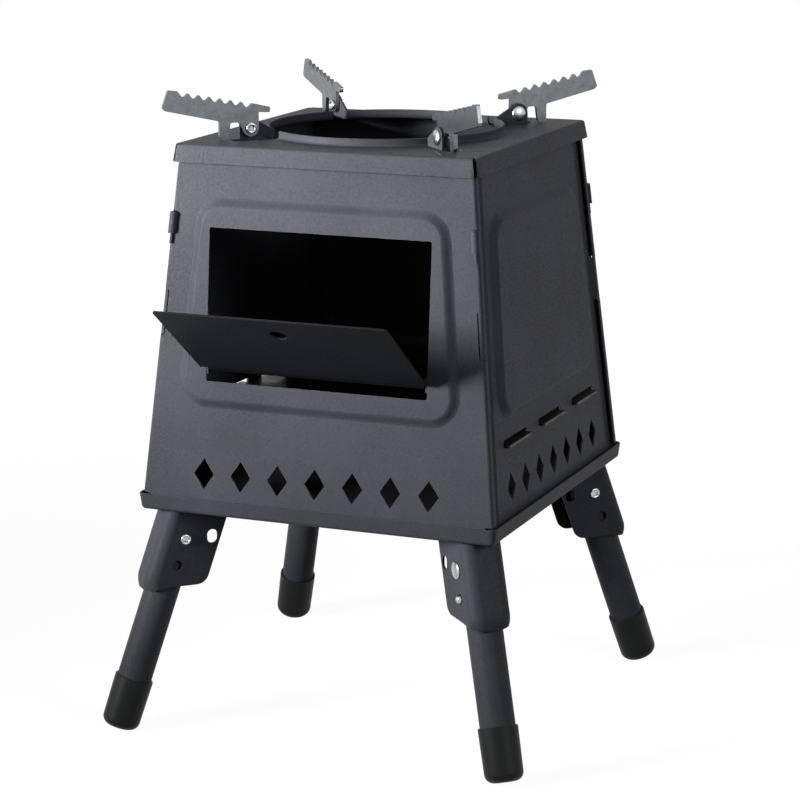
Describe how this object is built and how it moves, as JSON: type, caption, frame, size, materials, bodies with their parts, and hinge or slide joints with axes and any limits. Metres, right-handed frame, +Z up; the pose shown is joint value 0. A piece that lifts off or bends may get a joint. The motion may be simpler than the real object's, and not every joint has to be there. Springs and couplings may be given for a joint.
{
  "type": "camping wood stove",
  "caption": "Square tapered folding wood stove with a tilting fuel door, pierced walls, splayed folding legs and toothed pot supports on a lift-off lid.",
  "frame": {"origin": "centre of the footprint on the ground, with the fuel door open", "axes": "+Z up, -Y towards the fuel door, +X to the right of someone facing the door"},
  "size_m": [0.2834, 0.3202, 0.4051],
  "materials": {
    "powder_coat": "satin powder coat",
    "bare_steel": "plain sheet",
    "zinc_plate": "zinc plated",
    "nickel": "nickel plated, polished",
    "rubber": "moulded, slight sheen"
  },
  "bodies": {
    "stove_body": {"tray": "powder_coat", "front_panel": "powder_coat", "back_panel": "powder_coat", "right_panel": "powder_coat", "left_panel": "powder_coat", "grate": "bare_steel", "door_pin": "nickel", "corner_pin_front_right": "powder_coat", "corner_pin_back_right": "powder_coat", "corner_pin_back_left": "powder_coat", "corner_pin_front_left": "powder_coat", "leg_bracket_front_right": "powder_coat", "leg_bracket_back_right": "powder_coat", "leg_bracket_back_left": "powder_coat", "leg_bracket_front_left": "powder_coat", "leg_rivet_front_right": "nickel", "leg_rivet_back_right": "nickel", "leg_rivet_back_left": "nickel", "leg_rivet_front_left": "nickel"},
    "fuel_door": {"door": "powder_coat"},
    "lid_assembly": {"lid": "powder_coat", "support_rivet_front_right": "nickel", "support_rivet_back_right": "nickel", "support_rivet_back_left": "nickel", "support_rivet_front_left": "nickel"},
    "leg_front_right": {"leg_tube_front_right": "powder_coat", "foot_cap_front_right": "rubber"},
    "lock_front_right": {"lock_button_front_right": "nickel"},
    "support_front_right": {"pot_support_front_right": "zinc_plate"},
    "leg_back_right": {"leg_tube_back_right": "powder_coat", "foot_cap_back_right": "rubber"},
    "lock_back_right": {"lock_button_back_right": "nickel"},
    "support_back_right": {"pot_support_back_right": "zinc_plate"},
    "leg_back_left": {"leg_tube_back_left": "powder_coat", "foot_cap_back_left": "rubber"},
    "lock_back_left": {"lock_button_back_left": "nickel"},
    "support_back_left": {"pot_support_back_left": "zinc_plate"},
    "leg_front_left": {"leg_tube_front_left": "powder_coat", "foot_cap_front_left": "rubber"},
    "lock_front_left": {"lock_button_front_left": "nickel"},
    "support_front_left": {"pot_support_front_left": "zinc_plate"}
  },
  "joints": [
    {"name": "door_hinge", "type": "hinge", "parent": "stove_body", "child": "fuel_door", "pos_m": [0, -0.09138, 0.2373], "axis": [-1, 0, 0], "range_deg": [-68.5, 58.8]},
    {"name": "lid_lift", "type": "slide", "parent": "stove_body", "child": "lid_assembly", "axis": [0, 0, 1], "range_m": [0, 0.15]},
    {"name": "leg_fold_front_right", "type": "hinge", "parent": "stove_body", "child": "leg_front_right", "pos_m": [0.10105, -0.08269, 0.1244], "axis": [0.7071, 0.7071, 0], "range_deg": [0, 109.2]},
    {"name": "lock_press_front_right", "type": "slide", "parent": "stove_body", "child": "lock_front_right", "axis": [0.7071, 0.7071, 0], "range_m": [0, 0.0046], "stiffness_N_per_m": 900, "springref_m": -0.003},
    {"name": "support_fold_front_right", "type": "hinge", "parent": "lid_assembly", "child": "support_front_right", "pos_m": [0.06406, -0.0457, 0.3795], "axis": [-0.7071, -0.7071, 0], "range_deg": [0, 168]},
    {"name": "leg_fold_back_right", "type": "hinge", "parent": "stove_body", "child": "leg_back_right", "pos_m": [0.10105, 0.11941, 0.1244], "axis": [-0.7071, 0.7071, 0], "range_deg": [0, 109.2]},
    {"name": "lock_press_back_right", "type": "slide", "parent": "stove_body", "child": "lock_back_right", "axis": [0.7071, -0.7071, 0], "range_m": [0, 0.0046], "stiffness_N_per_m": 900, "springref_m": -0.003},
    {"name": "support_fold_back_right", "type": "hinge", "parent": "lid_assembly", "child": "support_back_right", "pos_m": [0.06406, 0.08243, 0.3795], "axis": [0.7071, -0.7071, 0], "range_deg": [0, 168]},
    {"name": "leg_fold_back_left", "type": "hinge", "parent": "stove_body", "child": "leg_back_left", "pos_m": [-0.10105, 0.11941, 0.1244], "axis": [-0.7071, -0.7071, 0], "range_deg": [0, 109.2]},
    {"name": "lock_press_back_left", "type": "slide", "parent": "stove_body", "child": "lock_back_left", "axis": [0.7071, 0.7071, 0], "range_m": [0, 0.0046], "stiffness_N_per_m": 900, "springref_m": -0.003},
    {"name": "support_fold_back_left", "type": "hinge", "parent": "lid_assembly", "child": "support_back_left", "pos_m": [-0.06406, 0.08243, 0.3795], "axis": [0.7071, 0.7071, 0], "range_deg": [0, 168]},
    {"name": "leg_fold_front_left", "type": "hinge", "parent": "stove_body", "child": "leg_front_left", "pos_m": [-0.10105, -0.08269, 0.1244], "axis": [0.7071, -0.7071, 0], "range_deg": [0, 109.2]},
    {"name": "lock_press_front_left", "type": "slide", "parent": "stove_body", "child": "lock_front_left", "axis": [0.7071, -0.7071, 0], "range_m": [0, 0.0046], "stiffness_N_per_m": 900, "springref_m": -0.003},
    {"name": "support_fold_front_left", "type": "hinge", "parent": "lid_assembly", "child": "support_front_left", "pos_m": [-0.06406, -0.0457, 0.3795], "axis": [-0.7071, 0.7071, 0], "range_deg": [0, 168]}
  ]
}
